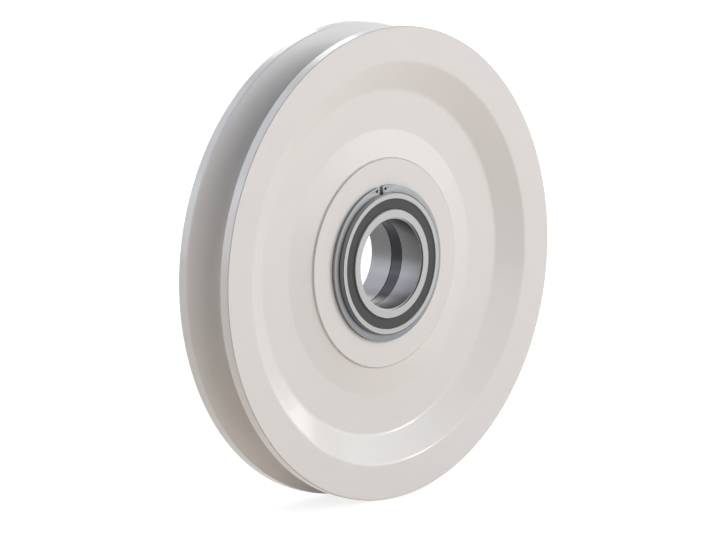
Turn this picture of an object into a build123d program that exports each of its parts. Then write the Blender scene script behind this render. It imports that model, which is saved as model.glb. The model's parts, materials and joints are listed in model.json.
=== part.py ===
from build123d import *
import os
from math import cos, radians, sin, tan

# Cast nylon wire rope sheave on a sealed double-row full-complement cylindrical roller bearing.
# The spin axis is Y, the front face looks along -Y, and the origin is the middle of the bore.
# All sizes are in millimetres.

# Sheave wheel
rim_radius = 157.5
rim_width = 44.0
rim_face_inner_radius = 134.0
web_outer_radius = 115.0
web_thickness = 23.4
hub_foot_radius = 88.5
hub_face_radius = 70.0
hub_width = 33.6
hub_step = 1.5
rim_edge_chamfer = 0.8
rim_face_edge_radius = 4.0
web_rim_blend_radius = 5.0
web_hub_blend_radius = 4.0

# Rope groove, cut for a 16 mm rope
groove_root_radius = 8.5
groove_half_angle = 22.5
groove_mouth_width = 30.0
groove_mouth_chamfer = 1.0
groove_overcut = 2.0

# Bearing envelope
bore_radius = 30.0
bearing_radius = 47.5
inner_ring_width = 46.0
outer_ring_width = 45.0

# Rollers: full complement, one set each side of the outer ring's middle rib
rollers_per_row = 24
roller_radius = 4.8
roller_length = 13.4
pitch_radius = 38.8
roller_play = 0.2
roller_end_play = 0.1
middle_rib_width = 3.0

# Outer ring
outer_rib_radius = 41.2
outer_ring_end_chamfer = 0.7
seal_seat_radius = 43.45

# Inner ring halves
inner_rib_radius = 36.5
bore_chamfer = 0.9
inner_rib_chamfer = 0.3

# Rolled-in strip that ties the two inner ring halves together
strip_width = 8.8
strip_groove_width = 9.4
strip_hook = 0.5
strip_groove_depth = 1.2
strip_recess = 0.15

# Seals
seal_thickness = 3.5
seal_recess = 0.4
seal_edge_chamfer = 0.25
lip_clearance = 0.1
lip_land = 0.8
lip_groove_depth = 0.8

# Snap rings
snap_ring_radius = 52.25
snap_ring_thickness = 2.5
snap_groove_radius = 45.6
snap_groove_play = 0.1
snap_ring_gap = 3.0
snap_ring_gap_turn = 7.5
plier_hole_radius = 1.0
plier_hole_spacing = 8.4
plier_hole_circle_radius = 49.9

# Worked out from the sizes above
rim_half = rim_width / 2
web_half = web_thickness / 2
hub_half = hub_width / 2
inner_half = inner_ring_width / 2
outer_half = outer_ring_width / 2
inner_raceway_radius = pitch_radius - roller_radius - roller_play
outer_raceway_radius = pitch_radius + roller_radius + roller_play
row_start = middle_rib_width / 2 + roller_end_play
row_end = row_start + roller_length + roller_end_play
groove_slope = radians(groove_half_angle)
mouth_reach = groove_mouth_width / 2 * cos(groove_slope) - groove_root_radius
groove_root_centre = rim_radius - mouth_reach / sin(groove_slope)


def write(piece, name):
    """Label a finished piece and write it to its own file."""
    piece.part.label = name
    export_step(piece.part, f"parts/{name}.step")


def corner(sketch, x, y):
    """The sketch's corner nearest to a point."""
    return sketch.vertices().sort_by_distance((x, y, 0))[0]


# The profiles below lie in the XY plane, with X the radius and Y the place along the axis.


def make_sheave():
    """One-piece wheel: grooved rim, dished web and thicker hub, alike on both sides."""
    flank_x = groove_root_centre - groove_root_radius * sin(groove_slope)
    flank_y = groove_root_radius * cos(groove_slope)
    outside_x = rim_radius + groove_overcut
    outside_y = flank_y + (outside_x - flank_x) * tan(groove_slope)
    with BuildPart() as sheave:
        with BuildSketch(Plane.XY) as section:
            with BuildLine():
                Polyline(
                    (bearing_radius, 0),
                    (bearing_radius, hub_half),
                    (hub_face_radius, hub_half),
                    (hub_face_radius, hub_half - hub_step),
                    (hub_foot_radius, web_half),
                    (web_outer_radius, web_half),
                    (rim_face_inner_radius, rim_half),
                    (rim_radius, rim_half),
                    (rim_radius, 0),
                    close=True,
                )
            make_face()
            fillet(corner(section, hub_foot_radius, web_half), web_hub_blend_radius)
            fillet(corner(section, web_outer_radius, web_half), web_rim_blend_radius)
            fillet(corner(section, rim_face_inner_radius, rim_half), rim_face_edge_radius)
            chamfer(corner(section, rim_radius, rim_half), rim_edge_chamfer)
            mirror(about=Plane.XZ)
            with BuildLine():
                ThreePointArc(
                    (flank_x, flank_y),
                    (groove_root_centre - groove_root_radius, 0),
                    (flank_x, -flank_y),
                )
                Polyline(
                    (flank_x, -flank_y),
                    (outside_x, -outside_y),
                    (outside_x, outside_y),
                    (flank_x, flank_y),
                )
            make_face(mode=Mode.SUBTRACT)
            for side in (1, -1):
                mouth = corner(section, rim_radius, side * groove_mouth_width / 2)
                chamfer(mouth, groove_mouth_chamfer)
        revolve(axis=Axis.Y)
    return sheave


def make_outer_ring():
    """Outer ring with three inner ribs, a seal seat at each end and two snap ring grooves."""
    groove_end = hub_half + snap_ring_thickness + snap_groove_play
    seat_end = outer_half - seal_recess - seal_thickness
    with BuildPart() as ring:
        with BuildSketch(Plane.XY):
            with BuildLine():
                Polyline(
                    (outer_rib_radius, 0),
                    (outer_rib_radius, middle_rib_width / 2),
                    (outer_raceway_radius, middle_rib_width / 2),
                    (outer_raceway_radius, row_end),
                    (outer_rib_radius, row_end),
                    (outer_rib_radius, seat_end),
                    (seal_seat_radius, seat_end),
                    (seal_seat_radius, outer_half),
                    (bearing_radius - outer_ring_end_chamfer, outer_half),
                    (bearing_radius, outer_half - outer_ring_end_chamfer),
                    (bearing_radius, groove_end),
                    (snap_groove_radius, groove_end),
                    (snap_groove_radius, hub_half),
                    (bearing_radius, hub_half),
                    (bearing_radius, 0),
                    close=True,
                )
            make_face()
            mirror(about=Plane.XZ)
        revolve(axis=Axis.Y)
    return ring


def make_inner_ring_half(side):
    """One of the two inner ring halves, from the split at mid-width to its end rib."""
    with BuildPart() as half:
        with BuildSketch(Plane.XY):
            with BuildLine():
                Polyline(
                    (bore_radius + strip_groove_depth, 0),
                    (inner_raceway_radius, 0),
                    (inner_raceway_radius, side * row_end),
                    (inner_rib_radius, side * row_end),
                    (inner_rib_radius, side * (inner_half - inner_rib_chamfer)),
                    (inner_rib_radius - inner_rib_chamfer, side * inner_half),
                    (bore_radius + bore_chamfer, side * inner_half),
                    (bore_radius, side * (inner_half - bore_chamfer)),
                    (bore_radius, side * strip_groove_width / 2),
                    (bore_radius + strip_groove_depth, side * (strip_groove_width / 2 + strip_hook)),
                    close=True,
                )
            make_face()
        revolve(axis=Axis.Y)
    return half


def make_strip():
    """Steel strip rolled into the bore, its edges spread behind the two halves."""
    back_half = strip_groove_width / 2 + strip_hook
    with BuildPart() as strip:
        with BuildSketch(Plane.XY):
            with BuildLine():
                Polyline(
                    (bore_radius + strip_recess, -strip_width / 2),
                    (bore_radius + strip_groove_depth, -back_half),
                    (bore_radius + strip_groove_depth, back_half),
                    (bore_radius + strip_recess, strip_width / 2),
                    close=True,
                )
            make_face()
        revolve(axis=Axis.Y)
    return strip


def make_seal(side):
    """Moulded seal pressed into the outer ring, with two lips that run on the inner ring's rib."""
    face = outer_half - seal_recess
    back = face - seal_thickness
    lip_radius = inner_rib_radius + lip_clearance
    with BuildPart() as seal:
        with BuildSketch(Plane.XY):
            with BuildLine():
                Polyline(
                    (lip_radius, side * (face - seal_edge_chamfer)),
                    (lip_radius + seal_edge_chamfer, side * face),
                    (seal_seat_radius - seal_edge_chamfer, side * face),
                    (seal_seat_radius, side * (face - seal_edge_chamfer)),
                    (seal_seat_radius, side * back),
                    (lip_radius, side * back),
                    (lip_radius + lip_groove_depth, side * (back + lip_land)),
                    (lip_radius + lip_groove_depth, side * (face - 2 * lip_land)),
                    (lip_radius, side * (face - lip_land)),
                    close=True,
                )
            make_face()
        revolve(axis=Axis.Y)
    return seal


def make_snap_ring(side):
    """Open retaining ring in the outer ring's groove, with two plier holes at its gap."""
    # The sketch plane's normal is -Y, so the front ring is at a positive offset.
    near = -side * hub_half if side < 0 else -side * (hub_half + snap_ring_thickness)
    with BuildPart() as ring:
        with BuildSketch(Plane.XZ.offset(near)) as outline:
            Circle(snap_ring_radius)
            Circle(snap_groove_radius, mode=Mode.SUBTRACT)
            with Locations(Rotation(0, 0, -side * snap_ring_gap_turn)):
                with Locations((0, snap_ring_radius)):
                    gap_height = 2 * (snap_ring_radius - snap_groove_radius) + 1
                    Rectangle(snap_ring_gap, gap_height, mode=Mode.SUBTRACT)
                with Locations((0, plier_hole_circle_radius)):
                    with GridLocations(plier_hole_spacing, 1, 2, 1):
                        Circle(plier_hole_radius, mode=Mode.SUBTRACT)
        extrude(amount=snap_ring_thickness)
    return ring


def make_roller(side, angle):
    """One plain cylindrical roller of a row, at its angle from +X."""
    centre = (
        pitch_radius * cos(radians(angle)),
        side * (row_start + roller_length / 2),
        pitch_radius * sin(radians(angle)),
    )
    with BuildPart() as roller:
        with BuildSketch(Plane(origin=centre, z_dir=(0, 1, 0))):
            Circle(roller_radius)
        extrude(amount=roller_length / 2, both=True)
    return roller


os.makedirs("parts", exist_ok=True)

write(make_sheave(), "sheave")
write(make_outer_ring(), "bearing_outer_ring")
write(make_strip(), "inner_ring_strip")
for end, side in (("front", -1), ("rear", 1)):
    write(make_inner_ring_half(side), f"inner_ring_{end}")
    write(make_seal(side), f"seal_{end}")
    write(make_snap_ring(side), f"snap_ring_{end}")
    for index in range(rollers_per_row):
        # The rear row stands half a roller further round than the front one.
        stagger = 0.5 if side > 0 else 0
        angle = (index + stagger) * 360 / rollers_per_row
        write(make_roller(side, angle), f"{end}_roller_{index + 1:02d}")
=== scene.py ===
"""The looks of a cast polyamide wire rope sheave on its sealed roller bearing.

The spin axis is Y, the front looks along -Y, Z is up, and the origin is the middle of the bore.
Sizes are in millimetres, and become metres where a mesh is made.
"""

import json
from math import acos, atan2, ceil, cos, pi, radians, sin, tan

import bmesh
import bpy
from mathutils import Matrix, Vector


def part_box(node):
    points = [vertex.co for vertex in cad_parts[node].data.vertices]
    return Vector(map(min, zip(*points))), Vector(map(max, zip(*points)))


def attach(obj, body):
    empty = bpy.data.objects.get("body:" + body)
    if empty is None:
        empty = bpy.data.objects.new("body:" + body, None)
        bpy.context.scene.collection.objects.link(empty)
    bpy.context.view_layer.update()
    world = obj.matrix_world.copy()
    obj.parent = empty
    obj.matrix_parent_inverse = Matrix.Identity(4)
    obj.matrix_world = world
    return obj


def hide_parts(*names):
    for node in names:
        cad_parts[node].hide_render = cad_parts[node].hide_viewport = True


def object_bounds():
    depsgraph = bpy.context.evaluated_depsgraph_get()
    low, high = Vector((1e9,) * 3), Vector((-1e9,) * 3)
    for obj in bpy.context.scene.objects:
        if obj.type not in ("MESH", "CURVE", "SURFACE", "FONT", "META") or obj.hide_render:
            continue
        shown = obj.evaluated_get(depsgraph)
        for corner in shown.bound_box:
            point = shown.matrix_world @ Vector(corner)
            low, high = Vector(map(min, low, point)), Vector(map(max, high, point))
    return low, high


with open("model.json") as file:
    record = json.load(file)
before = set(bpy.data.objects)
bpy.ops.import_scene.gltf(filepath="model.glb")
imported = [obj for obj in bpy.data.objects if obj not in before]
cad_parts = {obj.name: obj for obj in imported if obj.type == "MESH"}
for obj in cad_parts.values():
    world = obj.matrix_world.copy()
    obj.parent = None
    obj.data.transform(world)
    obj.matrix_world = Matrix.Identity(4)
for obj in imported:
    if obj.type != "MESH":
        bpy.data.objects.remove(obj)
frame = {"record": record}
cad_low, cad_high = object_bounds()

MM = 0.001


def ends(node):
    """A CAD node's outer radius and its two places along the axis, in millimetres."""
    low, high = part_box(node)
    return high.z / MM, low.y / MM, high.y / MM


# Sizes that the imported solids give
rim_radius, _, rim_half = ends("sheave")
bearing_radius, _, outer_half = ends("bearing_outer_ring")
rib_radius, _, inner_half = ends("inner_ring_rear")
strip_back_radius, _, strip_back_half = ends("inner_ring_strip")
seal_radius, seal_back, seal_face = ends("seal_rear")
snap_radius, hub_half, snap_face = ends("snap_ring_rear")
roller_low, roller_high = (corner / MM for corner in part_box("front_roller_01"))
mounts = {mount["name"]: mount for mount in frame["record"]["mounts"]}
bore_radius = mounts["pin_bore"]["dims"]["r_mm"]

# Wheel
rim_face_inner_radius = 134.0
web_outer_radius = 115.0
web_half = 11.7
hub_foot_radius = 88.5
hub_face_radius = 70.0
hub_step = 1.5
rim_edge_rounding = 0.4
rim_face_rounding = 4.0
web_rim_rounding = 5.0
web_hub_rounding = 4.0
hub_step_rounding = 0.6
hub_bore_rounding = 0.5

# Rope groove
groove_root_radius = 8.5
groove_half_angle = radians(22.5)
groove_mouth_half = 15.0
groove_mouth_rounding = 1.2

# Rollers
roller_radius = (roller_high.z - roller_low.z) / 2
roller_length = roller_high.y - roller_low.y
roller_play = 0.2
roller_end_play = 0.1
roller_rounding = 0.5
pitch_radius = (roller_high.x + roller_low.x) / 2
row_middle = -(roller_high.y + roller_low.y) / 2
rollers_per_row = len(frame["record"]["behaviour"]["bodies"]["front_rollers"])

# Bearing rings
middle_rib_half = 1.5
outer_rib_radius = 41.2
row_end = middle_rib_half + roller_end_play + roller_length + roller_end_play
outer_ring_rounding = 0.7
inner_rib_rounding = 0.5
bore_rounding = 0.9
fine_rounding = 0.25

# Strip in the bore
strip_half = 4.4
strip_gap_half = 4.7
strip_recess = 0.15
strip_rounding = 0.15
strip_gap_rounding = 0.12

# Seals
seal_face_dip = 0.12
seal_face_border = 0.9
seal_dip_rounding = 0.1
lip_clearance = 0.1
lip_land = 0.8
lip_groove_depth = 0.8
lip_rounding = 0.15

# Snap rings
snap_groove_radius = 45.6
snap_groove_play = 0.1
snap_gap = 3.0
snap_gap_turn = radians(7.5)
snap_corner_rounding = 1.0
snap_edge_rounding = 0.2
plier_hole_radius = 1.0
plier_hole_spacing = 8.4
plier_hole_circle_radius = 49.9

# Fineness of the meshes
wheel_steps_round = 288
bearing_steps_round = 192
roller_steps_round = 32
arc_step = radians(12)
groove_root_steps = 10
snap_outer_steps = 240
snap_inner_steps = 220
snap_corner_steps = 6
plier_hole_steps = 24
same_point = 1e-7
sharp_angle = radians(30)


# Node trees


class Number:
    """A number socket, on which Python's operators add Math nodes."""

    def __init__(self, tree, socket):
        self.tree = tree
        self.socket = socket

    def math(self, operation, *others):
        inputs = dict(enumerate((self, *others)))
        return self.tree.number("ShaderNodeMath", {"operation": operation}, inputs)

    def __add__(self, other):
        return self.math("ADD", other)

    __radd__ = __add__

    def __mul__(self, other):
        return self.math("MULTIPLY", other)

    __rmul__ = __mul__

    def __truediv__(self, other):
        return self.math("DIVIDE", other)

    def __floordiv__(self, other):
        return (self / other).math("FLOOR")

    def __mod__(self, other):
        return self.math("MODULO", other)

    def __lt__(self, other):
        return self.math("LESS_THAN", other)


class Tree:
    """A node tree, whose nodes all come from one method."""

    def __init__(self, data):
        self.data = data

    def node(self, kind, settings=None, values=None):
        """Add a node. Its settings go first, then the values or links of its sockets."""
        made = self.data.nodes.new(kind)
        for name, setting in (settings or {}).items():
            setattr(made, name, setting)
        for name, value in (values or {}).items():
            if isinstance(value, Number):
                value = value.socket
            if isinstance(value, bpy.types.NodeSocket):
                self.data.links.new(value, made.inputs[name])
            else:
                made.inputs[name].default_value = value
        return made

    def number(self, kind, settings=None, values=None, output=0):
        """Add a node and take one of its outputs as a number."""
        return Number(self, self.node(kind, settings, values).outputs[output])


def mixed_colour(tree, amount, low, high):
    """A colour between two colours."""
    low_socket, high_socket, colour_output = 6, 7, 2
    mix = tree.node("ShaderNodeMix", {"data_type": "RGBA"},
                    {"Factor": amount, low_socket: low, high_socket: high})
    return mix.outputs[colour_output]


# Geometry Nodes


def new_geometry_tree(name, inputs):
    """A Geometry Nodes tree with named inputs, each a name, a socket type and a value."""
    data = bpy.data.node_groups.new(name, "GeometryNodeTree")
    data.interface.new_socket("Geometry", in_out="OUTPUT", socket_type="NodeSocketGeometry")
    for label, kind, value in inputs:
        socket = data.interface.new_socket(label, in_out="INPUT", socket_type=kind)
        if value is not None:
            socket.default_value = value
    tree = Tree(data)
    return tree, tree.node("NodeGroupInput").outputs


def make_turning_tree():
    """Turns the points of a closed section about the Y axis into a closed skin."""
    tree, given = new_geometry_tree("turned section", [
        ("Section", "NodeSocketGeometry", None),
        ("Steps round", "NodeSocketInt", wheel_steps_round),
        ("Material", "NodeSocketMaterial", None),
    ])
    points = tree.number("GeometryNodeAttributeDomainSize", {"component": "MESH"},
                         {"Geometry": given["Section"]}, "Point Count")
    steps = Number(tree, given["Steps round"])
    grid = tree.node("GeometryNodeMeshGrid", None,
                     {"Vertices X": steps + 1, "Vertices Y": points + 1})
    index = tree.number("GeometryNodeInputIndex")
    turn = index // (points + 1) / steps * (2 * pi)
    along = (index % (points + 1)) % points
    position = tree.node("GeometryNodeInputPosition").outputs["Position"]
    on_section = tree.node("GeometryNodeSampleIndex",
                           {"data_type": "FLOAT_VECTOR", "domain": "POINT"},
                           {"Geometry": given["Section"], "Value": position, "Index": along})
    turned = tree.node("ShaderNodeVectorRotate", {"rotation_type": "Y_AXIS"},
                       {"Vector": on_section.outputs["Value"], "Angle": turn})
    skin = tree.node("GeometryNodeSetPosition", None,
                     {"Geometry": grid.outputs["Mesh"], "Position": turned.outputs["Vector"]})
    closed = tree.node("GeometryNodeMergeByDistance", None,
                       {"Geometry": skin.outputs["Geometry"], "Distance": 1e-6})
    finished = tree.node("GeometryNodeSetMaterial", None,
                         {"Geometry": closed.outputs["Geometry"], "Material": given["Material"]})
    tree.node("NodeGroupOutput", None, {"Geometry": finished.outputs["Geometry"]})
    return tree.data


def make_row_tree():
    """Turns a roller's section and sets the roller round a circle about the Y axis."""
    tree, given = new_geometry_tree("roller row", [
        ("Section", "NodeSocketGeometry", None),
        ("Rollers", "NodeSocketInt", rollers_per_row),
        ("Steps round", "NodeSocketInt", roller_steps_round),
        ("Pitch radius", "NodeSocketFloat", pitch_radius * MM),
        ("Row middle", "NodeSocketFloat", row_middle * MM),
        ("First angle", "NodeSocketFloat", 0.0),
        ("Material", "NodeSocketMaterial", None),
    ])
    roller = tree.node("GeometryNodeGroup", {"node_tree": turning_tree},
                       {name: given[name] for name in ("Section", "Steps round", "Material")})
    index = tree.number("GeometryNodeInputIndex")
    count = Number(tree, given["Rollers"])
    angle = index / count * (2 * pi) + Number(tree, given["First angle"])
    radius = Number(tree, given["Pitch radius"])
    centre = tree.node("ShaderNodeCombineXYZ", None,
                       {"X": angle.math("COSINE") * radius, "Y": given["Row middle"],
                        "Z": angle.math("SINE") * radius})
    points = tree.node("GeometryNodePoints", None,
                       {"Count": count, "Position": centre.outputs["Vector"]})
    row = tree.node("GeometryNodeInstanceOnPoints", None,
                    {"Points": points.outputs["Points"], "Instance": roller.outputs["Geometry"]})
    whole = tree.node("GeometryNodeRealizeInstances", None,
                      {"Geometry": row.outputs["Instances"]})
    tree.node("NodeGroupOutput", None, {"Geometry": whole.outputs["Geometry"]})
    return tree.data


def new_piece(name, mesh):
    """An object in the scene, at the origin, that shows a mesh."""
    piece = bpy.data.objects.new(name, mesh)
    bpy.context.scene.collection.objects.link(piece)
    return piece


def evaluated_mesh(shape):
    """The mesh that an object has after its modifiers or its bevel."""
    depsgraph = bpy.context.evaluated_depsgraph_get()
    return bpy.data.meshes.new_from_object(shape.evaluated_get(depsgraph))


def run_tree(name, section, node_tree, values):
    """Run a Geometry Nodes tree on a section, and keep the result as a piece."""
    piece = new_piece(name, section)
    modifier = piece.modifiers.new(node_tree.name, "NODES")
    modifier.node_group = node_tree
    identifiers = {item.name: item.identifier for item in node_tree.interface.items_tree
                   if item.in_out == "INPUT"}
    for label, value in values.items():
        modifier[identifiers[label]] = value
    skin = evaluated_mesh(piece)
    piece.modifiers.remove(modifier)
    piece.data = skin
    skin.name = name
    bpy.data.meshes.remove(section)
    finish_mesh(skin)
    return piece


def finish_mesh(mesh):
    """Join points that lie on each other, face outwards, and shade smooth between sharp edges."""
    shell = bmesh.new()
    shell.from_mesh(mesh)
    bmesh.ops.remove_doubles(shell, verts=shell.verts, dist=same_point)
    bmesh.ops.recalc_face_normals(shell, faces=shell.faces)
    shell.to_mesh(mesh)
    shell.free()
    mesh.shade_smooth()
    mesh.set_sharp_from_angle(angle=sharp_angle)


# Sections: closed outlines of (radius, place along the axis, rounding) corners


def rounded(corners):
    """The points of a closed section, with an arc at each corner that has a rounding.

    A point a little outside each end of an arc keeps the shading of the flats beside it flat.
    """
    flat_share = 0.15
    points = []
    for number, (radius, along, rounding) in enumerate(corners):
        here = Vector((radius, along))
        before = Vector(corners[number - 1][:2])
        after = Vector(corners[(number + 1) % len(corners)][:2])
        if not rounding:
            points.append(here)
            continue
        back = (before - here).normalized()
        ahead = (after - here).normalized()
        opening = acos(max(-1, min(1, back.dot(ahead))))
        reach = rounding / tan(opening / 2)
        middle = here + (back + ahead).normalized() * (rounding / sin(opening / 2))
        start = here + back * reach - middle
        turn = pi - opening
        # Known fault: wrong above 90 degrees, and decided by rounding error at 90.
        if start.x * ahead.y - start.y * ahead.x < 0:
            turn = -turn
        parts = max(2, ceil(abs(turn) / arc_step))
        flat = rounding * flat_share
        points.append(here + back * (reach + flat))
        for part in range(parts + 1):
            points.append(middle + Matrix.Rotation(turn * part / parts, 2) @ start)
        points.append(here + ahead * (reach + flat))
    return points


def mirrored(corners, side):
    """A rear section, or the same section at the front."""
    return [(radius, along * side, rounding) for radius, along, rounding in corners]


def both_sides(rear):
    """A closed section from its rear half, whose first and last corners end at the middle."""
    off_middle = [corner for corner in rear if corner[1]]
    return rear + mirrored(reversed(off_middle), -1)


def section_mesh(corners):
    """A mesh that holds only the points of a section, in metres."""
    mesh = bpy.data.meshes.new("section")
    mesh.from_pydata([(point.x * MM, point.y * MM, 0) for point in rounded(corners)], [], [])
    return mesh


def turned_piece(name, corners, material, steps=bearing_steps_round):
    """A piece turned from a section."""
    values = {"Steps round": steps, "Material": material}
    return run_tree(name, section_mesh(corners), turning_tree, values)


# Finishes


def new_finish(name, constants):
    """A material, its node tree, and its shader with the constant sockets set."""
    material = bpy.data.materials.new(name)
    material.use_nodes = True
    shader = material.node_tree.nodes["Principled BSDF"]
    for socket, value in constants.items():
        shader.inputs[socket].default_value = value
    return material, Tree(material.node_tree), shader


def radius_and_place(tree):
    """The distance from the spin axis and the place along it, in millimetres."""
    position = tree.node("ShaderNodeTexCoord").outputs["Object"]
    parts = tree.node("ShaderNodeSeparateXYZ", None, {"Vector": position}).outputs
    x, y, z = (Number(tree, parts[axis]) for axis in "XYZ")
    square = x * x + z * z
    return square.math("SQRT") / MM, y / MM


def lathe_marks(tree, radius, along, pitch, seed):
    """Irregular fine rings that a tool leaves round the axis, from 0 to 1."""
    return tree.number("ShaderNodeTexNoise", {"noise_dimensions": "1D"},
                       {"W": (radius + along) / pitch + seed, "Scale": 1.0, "Detail": 2.0})


def clouds(tree, size, detail=3.0):
    """Soft blotches of a size in millimetres, from 0 to 1."""
    position = tree.node("ShaderNodeTexCoord").outputs["Object"]
    return tree.number("ShaderNodeTexNoise", None,
                       {"Vector": position, "Scale": 1 / (size * MM), "Detail": detail})


def tint(tree, shader, amount, low, high):
    """Colour a shader between two colours."""
    tree.data.links.new(mixed_colour(tree, amount, low, high), shader.inputs["Base Color"])


def roughen(tree, shader, roughness):
    """Give a shader a roughness that varies over the surface."""
    tree.data.links.new(roughness.socket, shader.inputs["Roughness"])


def emboss(tree, shader, height, depth):
    """Raise a shader's surface by a height from 0 to 1, times a depth in millimetres."""
    bump = tree.node("ShaderNodeBump", None,
                     {"Height": height, "Distance": depth * MM, "Strength": 1.0})
    tree.data.links.new(bump.outputs["Normal"], shader.inputs["Normal"])


def make_cast_polyamide():
    """Ivory white cast polyamide, turned all over and slightly glossy."""
    material, tree, shader = new_finish("cast_polyamide", {
        "IOR": 1.5, "Coat Weight": 0.4, "Coat Roughness": 0.08,
    })
    radius, along = radius_and_place(tree)
    marks = lathe_marks(tree, radius, along, pitch=0.45, seed=3)
    mottle = clouds(tree, size=38)
    tint(tree, shader, mottle, (0.715, 0.698, 0.680, 1), (0.737, 0.722, 0.706, 1))
    roughen(tree, shader, 0.27 + 0.05 * marks + 0.04 * mottle)
    emboss(tree, shader, marks, depth=0.004)
    return material


def make_ground_steel():
    """Bearing steel: bright ground end faces and outside, and a bore coloured darker as painted
    shade, standing in for the dark reflections inside it.
    """
    material, tree, shader = new_finish("ground_steel", {"Metallic": 1.0})
    bore_margin = 0.05
    radius, along = radius_and_place(tree)
    marks = lathe_marks(tree, radius, along, pitch=0.12, seed=7)
    # Painted shade: the bore surface is coloured darker than the faces, in place of the dark
    # reflections inside the bore.
    bore = radius < bore_radius + bore_margin
    tint(tree, shader, bore, (0.380, 0.377, 0.372, 1), (0.175, 0.173, 0.175, 1))
    roughen(tree, shader, 0.30 + 0.10 * marks)
    emboss(tree, shader, marks, depth=0.0015)
    return material


def make_spring_steel():
    """Blue-grey tempered spring steel with a drawn grain round the ring."""
    material, tree, shader = new_finish("spring_steel", {"Metallic": 1.0})
    radius, along = radius_and_place(tree)
    marks = lathe_marks(tree, radius, along, pitch=0.3, seed=11)
    temper = clouds(tree, size=9)
    tint(tree, shader, temper, (0.235, 0.240, 0.247, 1), (0.275, 0.280, 0.287, 1))
    roughen(tree, shader, 0.40 + 0.14 * marks)
    emboss(tree, shader, marks, depth=0.003)
    return material


def make_strip_steel():
    """Dark rolled strip in the bore."""
    material, tree, shader = new_finish("strip_steel", {"Metallic": 1.0})
    radius, along = radius_and_place(tree)
    marks = lathe_marks(tree, radius, along, pitch=0.5, seed=17)
    tint(tree, shader, marks, (0.028, 0.028, 0.030, 1), (0.042, 0.042, 0.045, 1))
    roughen(tree, shader, 0.20 + 0.10 * marks)
    emboss(tree, shader, marks, depth=0.002)
    return material


def make_seal_rubber():
    """Dark grey moulded nitrile rubber with a fine eggshell skin."""
    material, tree, shader = new_finish("seal_rubber", {"IOR": 1.5, "Specular IOR Level": 0.4})
    skin = clouds(tree, size=0.5, detail=2.0)
    wipe = clouds(tree, size=14)
    tint(tree, shader, wipe, (0.036, 0.036, 0.035, 1), (0.047, 0.047, 0.046, 1))
    roughen(tree, shader, 0.50 + 0.12 * skin)
    emboss(tree, shader, skin, depth=0.02)
    return material


def make_roller_steel():
    """Lapped roller steel."""
    material, tree, shader = new_finish("roller_steel", {"Metallic": 1.0})
    lapping = clouds(tree, size=0.8, detail=4.0)
    tint(tree, shader, lapping, (0.66, 0.66, 0.67, 1), (0.72, 0.72, 0.73, 1))
    roughen(tree, shader, 0.12 + 0.08 * lapping)
    emboss(tree, shader, lapping, depth=0.001)
    return material


turning_tree = make_turning_tree()
row_tree = make_row_tree()
polyamide = make_cast_polyamide()
ring_steel = make_ground_steel()
spring_steel = make_spring_steel()
strip_steel = make_strip_steel()
seal_rubber = make_seal_rubber()
roller_steel = make_roller_steel()


# Turned pieces


def groove_half_section():
    """The rope groove from its mouth at the rear down to the root's bottom."""
    reach = groove_mouth_half * cos(groove_half_angle) - groove_root_radius
    centre = rim_radius - reach / sin(groove_half_angle)
    arc = radians(90) - groove_half_angle
    points = [(rim_radius, groove_mouth_half, groove_mouth_rounding)]
    for step in range(groove_root_steps, -1, -1):
        angle = arc * step / groove_root_steps
        radius = centre - groove_root_radius * cos(angle)
        points.append((radius, groove_root_radius * sin(angle), 0))
    return points


def make_wheel():
    """One-piece wheel: grooved rim, dished web and hub, alike on both sides."""
    return turned_piece("wheel", both_sides([
        (bearing_radius, hub_half, hub_bore_rounding),
        (hub_face_radius, hub_half, hub_step_rounding),
        (hub_face_radius, hub_half - hub_step, hub_step_rounding),
        (hub_foot_radius, web_half, web_hub_rounding),
        (web_outer_radius, web_half, web_rim_rounding),
        (rim_face_inner_radius, rim_half, rim_face_rounding),
        (rim_radius, rim_half, rim_edge_rounding),
        *groove_half_section(),
    ]), polyamide, wheel_steps_round)


def make_bearing_outer_ring():
    """Outer ring with three ribs, a seal seat at each end and two snap ring grooves."""
    raceway = pitch_radius + roller_radius + roller_play
    groove_end = snap_face + snap_groove_play
    return turned_piece("outer_ring", both_sides([
        (outer_rib_radius, middle_rib_half, fine_rounding),
        (raceway, middle_rib_half, 0),
        (raceway, row_end, 0),
        (outer_rib_radius, row_end, fine_rounding),
        (outer_rib_radius, seal_back, 0),
        (seal_radius, seal_back, 0),
        (seal_radius, outer_half, fine_rounding),
        (bearing_radius, outer_half, outer_ring_rounding),
        (bearing_radius, groove_end, fine_rounding),
        (snap_groove_radius, groove_end, 0),
        (snap_groove_radius, hub_half, 0),
        (bearing_radius, hub_half, fine_rounding),
    ]), ring_steel)


def make_bearing_inner_half(end, side):
    """One half of the inner ring, from the split at mid-width to its end rib."""
    raceway = pitch_radius - roller_radius - roller_play
    return turned_piece(f"inner_half_{end}", mirrored([
        (strip_back_radius, 0, 0),
        (raceway, 0, 0),
        (raceway, row_end, 0),
        (rib_radius, row_end, 0),
        (rib_radius, inner_half, inner_rib_rounding),
        (bore_radius, inner_half, bore_rounding),
        (bore_radius, strip_gap_half, strip_gap_rounding),
        (strip_back_radius, strip_back_half, 0),
    ], side), ring_steel)


def make_bore_strip():
    """Strip rolled into the bore, its edges spread behind the two inner halves."""
    return turned_piece("bore_strip", both_sides([
        (strip_back_radius, strip_back_half, 0),
        (bore_radius + strip_recess, strip_half, strip_rounding),
    ]), strip_steel)


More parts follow.
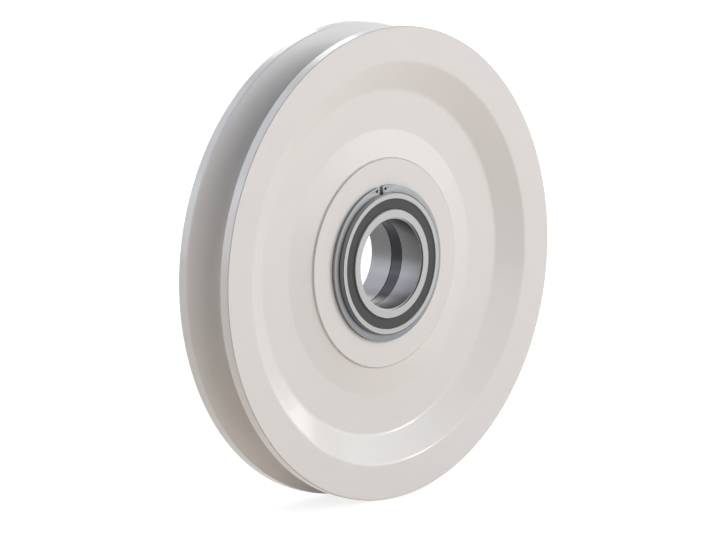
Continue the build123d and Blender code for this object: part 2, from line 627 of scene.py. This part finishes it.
def make_lip_seal(end, side):
    """Moulded seal with a raised border round a shallow face, and two lips on the rib."""
    lip = rib_radius + lip_clearance
    floor = seal_face - seal_face_dip
    return turned_piece(f"lip_seal_{end}", mirrored([
        (lip, seal_face, fine_rounding),
        (lip + seal_face_border, seal_face, seal_dip_rounding),
        (lip + seal_face_border + seal_face_dip, floor, seal_dip_rounding),
        (seal_radius - seal_face_border - seal_face_dip, floor, seal_dip_rounding),
        (seal_radius - seal_face_border, seal_face, seal_dip_rounding),
        (seal_radius, seal_face, fine_rounding),
        (seal_radius, seal_back, lip_rounding),
        (lip, seal_back, lip_rounding),
        (lip + lip_groove_depth, seal_back + lip_land, 0),
        (lip + lip_groove_depth, seal_face - 2 * lip_land, 0),
        (lip, seal_face - lip_land, lip_rounding),
    ], side), seal_rubber)


def make_roller_row(end, side, first_angle):
    """One full row of rollers with rounded ends."""
    half = roller_length / 2
    section = section_mesh([
        (0, -half, 0),
        (roller_radius, -half, roller_rounding),
        (roller_radius, half, roller_rounding),
        (0, half, 0),
    ])
    return run_tree(f"roller_row_{end}", section, row_tree, {
        "Rollers": rollers_per_row, "Steps round": roller_steps_round,
        "Pitch radius": pitch_radius * MM, "Row middle": side * row_middle * MM,
        "First angle": first_angle, "Material": roller_steel,
    })


# Snap rings


def arc_points(centre, radius, start, stop, steps):
    """Points along an arc in the plane of a ring, from one angle to another."""
    for step in range(steps + 1):
        angle = start + (stop - start) * step / steps
        yield centre[0] + radius * cos(angle), centre[1] + radius * sin(angle)


def snap_ring_outline():
    """The open ring in its own plane, with its gap at the top and the gap's corners rounded."""
    half_gap = snap_gap / 2
    corner_x = half_gap + snap_corner_rounding
    corner_z = ((snap_radius - snap_corner_rounding) ** 2 - corner_x ** 2) ** 0.5
    meet = atan2(corner_z, corner_x)
    inner_meet = acos(half_gap / snap_groove_radius)
    return [
        *arc_points((corner_x, corner_z), snap_corner_rounding, pi, meet, snap_corner_steps),
        *arc_points((0, 0), snap_radius, meet, -pi - meet, snap_outer_steps),
        *arc_points((-corner_x, corner_z), snap_corner_rounding, pi - meet, 0, snap_corner_steps),
        *arc_points((0, 0), snap_groove_radius, pi - inner_meet, inner_meet + 2 * pi,
                    snap_inner_steps),
    ]


def plier_hole(x):
    """One of the two round holes beside the gap."""
    last = plier_hole_steps - 1
    centre = (x, plier_hole_circle_radius)
    return list(arc_points(centre, plier_hole_radius, 2 * pi * last / plier_hole_steps, 0, last))


def stamped_plate(loops, thickness, rounding):
    """A flat plate in the XY plane with rounded edges, from its outline and its holes."""
    flat = bpy.data.curves.new("plate", "CURVE")
    flat.dimensions = "2D"
    flat.fill_mode = "BOTH"
    flat.extrude = (thickness / 2 - rounding) * MM
    flat.bevel_depth = rounding * MM
    flat.bevel_resolution = 2
    flat.offset = -rounding * MM
    for loop in loops:
        spline = flat.splines.new("POLY")
        spline.points.add(len(loop) - 1)
        spline.use_cyclic_u = True
        for point, (x, y) in zip(spline.points, loop):
            point.co = (x * MM, y * MM, 0, 1)
    shape = new_piece("plate", flat)
    mesh = evaluated_mesh(shape)
    bpy.data.objects.remove(shape)
    return mesh


def make_snap_ring(end, side):
    """Stamped open ring with two plier holes at its gap, its edges broken."""
    hole_x = plier_hole_spacing / 2
    loops = [snap_ring_outline(), plier_hole(-hole_x), plier_hole(hole_x)]
    mesh = stamped_plate(loops, snap_face - hub_half, snap_edge_rounding)
    turn = Matrix.Rotation(-side * snap_gap_turn, 4, "Z")
    stand = Matrix.Rotation(pi / 2, 4, "X")
    middle = side * (hub_half + snap_face) / 2 * MM
    mesh.transform(Matrix.Translation((0, middle, 0)) @ stand @ turn)
    mesh.name = f"snap_{end}"
    finish_mesh(mesh)
    mesh.materials.clear()
    mesh.materials.append(spring_steel)
    return new_piece(f"snap_{end}", mesh)


def stand_for(piece, body, slot, *nodes):
    """Give a piece its body, and hide the CAD nodes that it stands for. The slot is not used."""
    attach(piece, body)
    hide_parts(*nodes)


stand_for(make_wheel(), "sheave", "sheave_polyamide", "sheave")
stand_for(make_bearing_outer_ring(), "sheave", "ring_steel", "bearing_outer_ring")
stand_for(make_bore_strip(), "inner_ring", "strip_steel", "inner_ring_strip")
for end, side, stagger in (("front", -1, 0), ("rear", 1, 0.5)):
    row_body = f"{end}_rollers"
    first_angle = stagger * 2 * pi / rollers_per_row
    stand_for(make_bearing_inner_half(end, side), "inner_ring", "ring_steel", f"inner_ring_{end}")
    stand_for(make_lip_seal(end, side), "sheave", "seal_rubber", f"seal_{end}")
    stand_for(make_snap_ring(end, side), "sheave", "spring_steel", f"snap_ring_{end}")
    stand_for(make_roller_row(end, side, first_angle), row_body, "roller_steel",
              *frame["record"]["behaviour"]["bodies"][row_body])


# Floor, light and camera, in metres


def seen_directly(tree):
    """1 for camera, glossy and transmission rays, and 0 for the rays that light a surface."""
    path = tree.node("ShaderNodeLightPath").outputs
    camera, glossy, through = (Number(tree, path[name]) for name in
                               ("Is Camera Ray", "Is Glossy Ray", "Is Transmission Ray"))
    return camera.math("MAXIMUM", glossy).math("MAXIMUM", through)


def make_floor():
    """Pale floor under the rim: white as the room, with the wheel's soft shadow near it."""
    floor_half = 6.0
    shadow_reach = 1.6
    glow_near = 0.78
    level = cad_low.z
    mesh = bpy.data.meshes.new("floor")
    corners = [(-floor_half, -floor_half), (floor_half, -floor_half),
               (floor_half, floor_half), (-floor_half, floor_half)]
    mesh.from_pydata([(x, y, level) for x, y in corners], [], [(0, 1, 2, 3)])
    floor = new_piece("floor", mesh)
    material = bpy.data.materials.new("pale_floor")
    material.use_nodes = True
    material.node_tree.nodes.clear()
    tree = Tree(material.node_tree)
    matt = tree.node("ShaderNodeBsdfDiffuse", None, {"Color": (0.97, 0.84, 0.70, 1)})
    pale = tree.node("ShaderNodeBsdfDiffuse", None, {"Color": (0.35, 0.35, 0.35, 1)})
    position = tree.node("ShaderNodeTexCoord").outputs["Object"]
    away = tree.number("ShaderNodeVectorMath", {"operation": "LENGTH"}, {0: position}, "Value")
    far = (away / shadow_reach).math("MINIMUM", 1)
    glow = tree.node("ShaderNodeEmission", None, {
        "Color": (1, 1, 1, 1), "Strength": glow_near + (1 - glow_near) * far,
    })
    lifted = tree.node("ShaderNodeAddShader", None, {0: pale.outputs[0], 1: glow.outputs[0]})
    mixed = tree.node("ShaderNodeMixShader", None,
                      {0: seen_directly(tree), 1: matt.outputs[0], 2: lifted.outputs[0]})
    tree.node("ShaderNodeOutputMaterial", None, {"Surface": mixed.outputs[0]})
    mesh.materials.append(material)


def make_world():
    """A white room that lights from all sides, cooler from above and warmer from below."""
    ambient_level = 0.14
    warm_below = (1.0, 0.92, 0.80, 1)
    cool_above = (0.74, 0.86, 1.0, 1)
    world = bpy.data.worlds.new("studio")
    bpy.context.scene.world = world
    world.use_nodes = True
    world.node_tree.nodes.clear()
    tree = Tree(world.node_tree)
    direction = tree.node("ShaderNodeTexCoord").outputs["Generated"]
    height = tree.number("ShaderNodeSeparateXYZ", None, {"Vector": direction}, "Z")
    sky = mixed_colour(tree, height * 0.5 + 0.5, warm_below, cool_above)
    ambient = tree.node("ShaderNodeBackground", None, {"Color": sky, "Strength": ambient_level})
    white = tree.node("ShaderNodeBackground", None, {"Color": (1, 1, 1, 1), "Strength": 1.0})
    mixed = tree.node("ShaderNodeMixShader", None,
                      {0: seen_directly(tree), 1: ambient.outputs[0], 2: white.outputs[0]})
    tree.node("ShaderNodeOutputWorld", None, {"Surface": mixed.outputs[0]})


def towards(azimuth, elevation):
    """A direction from two angles in degrees. Azimuth 0 is in front, 90 at the right."""
    azimuth, elevation = radians(azimuth), radians(elevation)
    return Vector((sin(azimuth) * cos(elevation), -cos(azimuth) * cos(elevation),
                   sin(elevation)))


def make_softbox(name, azimuth, elevation, spread, level, colour):
    """A square lamp that lights a surface facing it to a level near 1.

    Its three angles are in degrees, and the spread is how wide it looks from the wheel.
    """
    distance = 5.0
    lamp = bpy.data.lights.new(name, "AREA")
    lamp.shape = "SQUARE"
    lamp.size = 2 * distance * tan(radians(spread) / 2)
    lamp.energy = level * (pi * distance) ** 2
    lamp.color = colour
    holder = new_piece(name, lamp)
    direction = towards(azimuth, elevation)
    holder.location = direction * distance
    holder.rotation_euler = direction.to_track_quat("Z", "Y").to_euler()


def make_camera():
    """Far camera, left of the front and slightly above, with the wheel filling the frame."""
    distance = 6.0
    view_width = 0.4765
    aim_right = -0.0042
    aim_up = -0.0064
    back = towards(-47.7, 8.85)
    right = Vector((0, 0, 1)).cross(back).normalized()
    up = back.cross(right)
    lens = bpy.data.cameras.new("camera")
    lens.sensor_width = 36
    lens.lens = lens.sensor_width * distance / view_width
    lens.clip_end = 100
    camera = new_piece("camera", lens)
    turn = Matrix((right, up, back)).transposed().to_4x4()
    spot = right * aim_right + up * aim_up + back * distance
    camera.matrix_world = Matrix.Translation(spot) @ turn
    bpy.context.scene.camera = camera


warm_white = (1.0, 0.95, 0.90)
cool_white = (0.96, 0.97, 1.0)
plain_white = (1.0, 1.0, 1.0)
pale_blue = (0.86, 0.92, 1.0)
sky_blue = (0.82, 0.86, 1.0)

make_floor()
make_world()
make_softbox("key_right", 102, 21, 40, 0.43, warm_white)
make_softbox("front_right", 43, 24, 54, 0.45, cool_white)
make_softbox("sparkle", 42, 18, 8, 0.12, plain_white)
make_softbox("front_left", -10, 18, 40, 0.26, cool_white)
make_softbox("left_behind", -124, 16, 28, 0.17, pale_blue)
make_softbox("high_behind", -150, 42, 44, 0.34, sky_blue)
make_softbox("right_behind", 148, 33, 20, 0.12, plain_white)
make_camera()
bpy.context.scene.view_settings.view_transform = "Standard"
